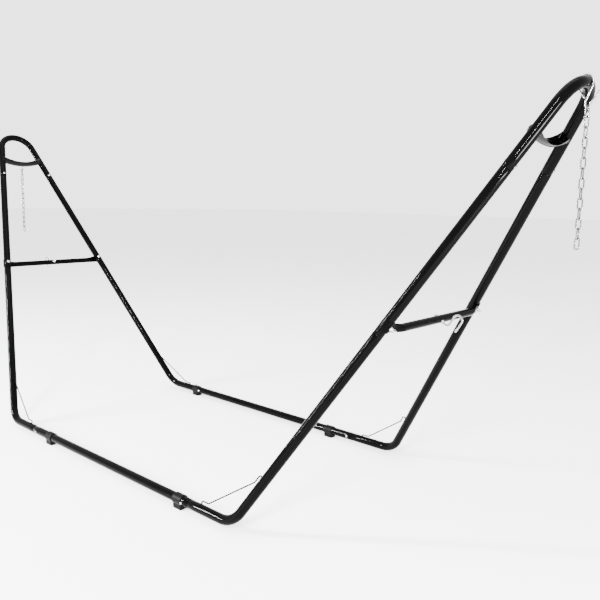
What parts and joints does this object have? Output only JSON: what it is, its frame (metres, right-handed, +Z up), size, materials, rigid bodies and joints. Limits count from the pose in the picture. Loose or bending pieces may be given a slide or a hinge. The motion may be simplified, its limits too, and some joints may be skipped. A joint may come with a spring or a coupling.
{
  "type": "hammock stand",
  "caption": "Free-standing tubular steel hammock stand: side rails, raked legs rising to an arch at each end, spreader bars, and a hanging chain at each end.",
  "frame": {"origin": "on the floor under the middle of the stand", "axes": "+X along the stand, +Y across it, +Z up"},
  "size_m": [4.0011, 1.1958, 1.7388],
  "materials": {
    "tube_coating": "gloss black powder coat",
    "spreader_coating": "gloss black powder coat",
    "saddle_coating": "gloss black powder coat over pressed sheet",
    "rod_coating": "black powder coat",
    "foot_plastic": "black moulded plastic, fine grain",
    "chain_zinc": "bright zinc plated steel wire",
    "hook_zinc": "bright zinc plated steel rod",
    "fastener_zinc": "bright zinc plated",
    "nut_chrome": "nickel plated"
  },
  "bodies": {
    "frame": {"right_arch_tube": "tube_coating", "right_saddle": "saddle_coating", "right_spreader_bar": "spreader_coating", "right_spreader_hook": "hook_zinc", "left_arch_tube": "tube_coating", "left_saddle": "saddle_coating", "left_spreader_bar": "spreader_coating", "left_spreader_hook": "hook_zinc", "right_front_corner_tube": "tube_coating", "right_back_corner_tube": "tube_coating", "left_front_corner_tube": "tube_coating", "left_back_corner_tube": "tube_coating", "right_front_upper_leg": "tube_coating", "right_back_upper_leg": "tube_coating", "left_front_upper_leg": "tube_coating", "left_back_upper_leg": "tube_coating", "right_front_foot": "foot_plastic", "left_front_foot": "foot_plastic", "right_back_foot": "foot_plastic", "left_back_foot": "foot_plastic", "gusset_rods": "rod_coating", "front_rail": "tube_coating", "back_rail": "tube_coating", "spreader_bolts": "fastener_zinc", "wing_nuts": "nut_chrome", "washers": "fastener_zinc", "hook_nuts": "fastener_zinc", "hook_acorn_nuts": "nut_chrome", "frame_bolts": "fastener_zinc", "frame_nuts": "fastener_zinc", "left_chain_link_01": "chain_zinc"},
    "right_hook": {"right_s_hook": "hook_zinc"},
    "right_link_01": {"right_chain_link_01": "chain_zinc"},
    "right_link_02": {"right_chain_link_02": "chain_zinc"},
    "right_link_03": {"right_chain_link_03": "chain_zinc"},
    "right_link_04": {"right_chain_link_04": "chain_zinc"},
    "right_link_05": {"right_chain_link_05": "chain_zinc"},
    "right_link_06": {"right_chain_link_06": "chain_zinc"},
    "right_link_07": {"right_chain_link_07": "chain_zinc"},
    "right_link_08": {"right_chain_link_08": "chain_zinc"},
    "right_link_09": {"right_chain_link_09": "chain_zinc"},
    "right_link_10": {"right_chain_link_10": "chain_zinc"},
    "right_link_11": {"right_chain_link_11": "chain_zinc"},
    "right_link_12": {"right_chain_link_12": "chain_zinc"},
    "right_link_13": {"right_chain_link_13": "chain_zinc"},
    "right_link_14": {"right_chain_link_14": "chain_zinc"},
    "left_link_02": {"left_chain_link_02": "chain_zinc"},
    "left_link_03": {"left_chain_link_03": "chain_zinc"},
    "left_link_04": {"left_chain_link_04": "chain_zinc"},
    "left_link_05": {"left_chain_link_05": "chain_zinc"},
    "left_link_06": {"left_chain_link_06": "chain_zinc"},
    "left_link_07": {"left_chain_link_07": "chain_zinc"},
    "left_link_08": {"left_chain_link_08": "chain_zinc"},
    "left_link_09": {"left_chain_link_09": "chain_zinc"},
    "left_link_10": {"left_chain_link_10": "chain_zinc"},
    "left_link_11": {"left_chain_link_11": "chain_zinc"},
    "left_link_12": {"left_chain_link_12": "chain_zinc"},
    "left_link_13": {"left_chain_link_13": "chain_zinc"},
    "left_link_14": {"left_chain_link_14": "chain_zinc"},
    "left_link_15": {"left_chain_link_15": "chain_zinc"}
  },
  "joints": [
    {"name": "right_hook_swing", "type": "hinge", "parent": "frame", "child": "right_hook", "pos_m": [1.96474, 0, 1.71153], "axis": [0, -1, 0], "range_deg": [-20, 60]},
    {"name": "right_link_01_swing", "type": "hinge", "parent": "right_hook", "child": "right_link_01", "pos_m": [1.97674, 0, 1.63153], "axis": [1, 0, 0], "range_deg": [-30, 30]},
    {"name": "right_link_02_swing", "type": "hinge", "parent": "right_link_01", "child": "right_link_02", "pos_m": [1.97674, 0, 1.59953], "axis": [0.342, 0.9397, 0], "range_deg": [-30, 30]},
    {"name": "right_link_03_swing", "type": "hinge", "parent": "right_link_02", "child": "right_link_03", "pos_m": [1.97674, 0, 1.56673], "axis": [-0.9563, 0.2924, 0], "range_deg": [-30, 30]},
    {"name": "right_link_04_swing", "type": "hinge", "parent": "right_link_03", "child": "right_link_04", "pos_m": [1.97674, 0, 1.53393], "axis": [-0.2419, -0.9703, 0], "range_deg": [-30, 30]},
    {"name": "right_link_05_swing", "type": "hinge", "parent": "right_link_04", "child": "right_link_05", "pos_m": [1.97674, 0, 1.50113], "axis": [0.9816, -0.1908, 0], "range_deg": [-30, 30]},
    {"name": "right_link_06_swing", "type": "hinge", "parent": "right_link_05", "child": "right_link_06", "pos_m": [1.97674, 0, 1.46833], "axis": [0.1392, 0.9903, 0], "range_deg": [-30, 30]},
    {"name": "right_link_07_swing", "type": "hinge", "parent": "right_link_06", "child": "right_link_07", "pos_m": [1.97674, 0, 1.43553], "axis": [-0.9962, 0.0872, 0], "range_deg": [-30, 30]},
    {"name": "right_link_08_swing", "type": "hinge", "parent": "right_link_07", "child": "right_link_08", "pos_m": [1.97674, 0, 1.40273], "axis": [-0.0523, -0.9986, 0], "range_deg": [-30, 30]},
    {"name": "right_link_09_swing", "type": "hinge", "parent": "right_link_08", "child": "right_link_09", "pos_m": [1.97674, 0, 1.36993], "axis": [0.9986, -0.0523, 0], "range_deg": [-30, 30]},
    {"name": "right_link_10_swing", "type": "hinge", "parent": "right_link_09", "child": "right_link_10", "pos_m": [1.97674, 0, 1.33713], "axis": [0.0523, 0.9986, 0], "range_deg": [-30, 30]},
    {"name": "right_link_11_swing", "type": "hinge", "parent": "right_link_10", "child": "right_link_11", "pos_m": [1.97674, 0, 1.30433], "axis": [-0.9986, 0.0523, 0], "range_deg": [-30, 30]},
    {"name": "right_link_12_swing", "type": "hinge", "parent": "right_link_11", "child": "right_link_12", "pos_m": [1.97674, 0, 1.27153], "axis": [-0.0523, -0.9986, 0], "range_deg": [-30, 30]},
    {"name": "right_link_13_swing", "type": "hinge", "parent": "right_link_12", "child": "right_link_13", "pos_m": [1.97674, 0, 1.23873], "axis": [0.9986, -0.0523, 0], "range_deg": [-30, 30]},
    {"name": "right_link_14_swing", "type": "hinge", "parent": "right_link_13", "child": "right_link_14", "pos_m": [1.97674, 0, 1.20593], "axis": [0.0523, 0.9986, 0], "range_deg": [-30, 30]},
    {"name": "left_link_02_swing", "type": "hinge", "parent": "frame", "child": "left_link_02", "pos_m": [-1.86335, 0, 1.51827], "axis": [-1, 0, 0], "range_deg": [-20, 20]},
    {"name": "left_link_03_swing", "type": "hinge", "parent": "left_link_02", "child": "left_link_03", "pos_m": [-1.86335, 0, 1.48547], "axis": [0, -1, 0], "range_deg": [-30, 30]},
    {"name": "left_link_04_swing", "type": "hinge", "parent": "left_link_03", "child": "left_link_04", "pos_m": [-1.86335, 0, 1.45267], "axis": [0.9986, 0.0523, 0], "range_deg": [-30, 30]},
    {"name": "left_link_05_swing", "type": "hinge", "parent": "left_link_04", "child": "left_link_05", "pos_m": [-1.86335, 0, 1.41987], "axis": [-0.1045, 0.9945, 0], "range_deg": [-30, 30]},
    {"name": "left_link_06_swing", "type": "hinge", "parent": "left_link_05", "child": "left_link_06", "pos_m": [-1.86335, 0, 1.38707], "axis": [-0.9877, -0.1564, 0], "range_deg": [-30, 30]},
    {"name": "left_link_07_swing", "type": "hinge", "parent": "left_link_06", "child": "left_link_07", "pos_m": [-1.86335, 0, 1.35427], "axis": [0.2079, -0.9781, 0], "range_deg": [-30, 30]},
    {"name": "left_link_08_swing", "type": "hinge", "parent": "left_link_07", "child": "left_link_08", "pos_m": [-1.86335, 0, 1.32147], "axis": [0.9659, 0.2588, 0], "range_deg": [-30, 30]},
    {"name": "left_link_09_swing", "type": "hinge", "parent": "left_link_08", "child": "left_link_09", "pos_m": [-1.86335, 0, 1.28867], "axis": [-0.2924, 0.9563, 0], "range_deg": [-30, 30]},
    {"name": "left_link_10_swing", "type": "hinge", "parent": "left_link_09", "child": "left_link_10", "pos_m": [-1.86335, 0, 1.25587], "axis": [-0.9563, -0.2924, 0], "range_deg": [-30, 30]},
    {"name": "left_link_11_swing", "type": "hinge", "parent": "left_link_10", "child": "left_link_11", "pos_m": [-1.86335, 0, 1.22307], "axis": [0.2924, -0.9563, 0], "range_deg": [-30, 30]},
    {"name": "left_link_12_swing", "type": "hinge", "parent": "left_link_11", "child": "left_link_12", "pos_m": [-1.86335, 0, 1.19027], "axis": [0.9563, 0.2924, 0], "range_deg": [-30, 30]},
    {"name": "left_link_13_swing", "type": "hinge", "parent": "left_link_12", "child": "left_link_13", "pos_m": [-1.86335, 0, 1.15747], "axis": [-0.2924, 0.9563, 0], "range_deg": [-30, 30]},
    {"name": "left_link_14_swing", "type": "hinge", "parent": "left_link_13", "child": "left_link_14", "pos_m": [-1.86335, 0, 1.12467], "axis": [-0.9563, -0.2924, 0], "range_deg": [-30, 30]},
    {"name": "left_link_15_swing", "type": "hinge", "parent": "left_link_14", "child": "left_link_15", "pos_m": [-1.86335, 0, 1.09187], "axis": [0.2924, -0.9563, 0], "range_deg": [-30, 30]}
  ]
}
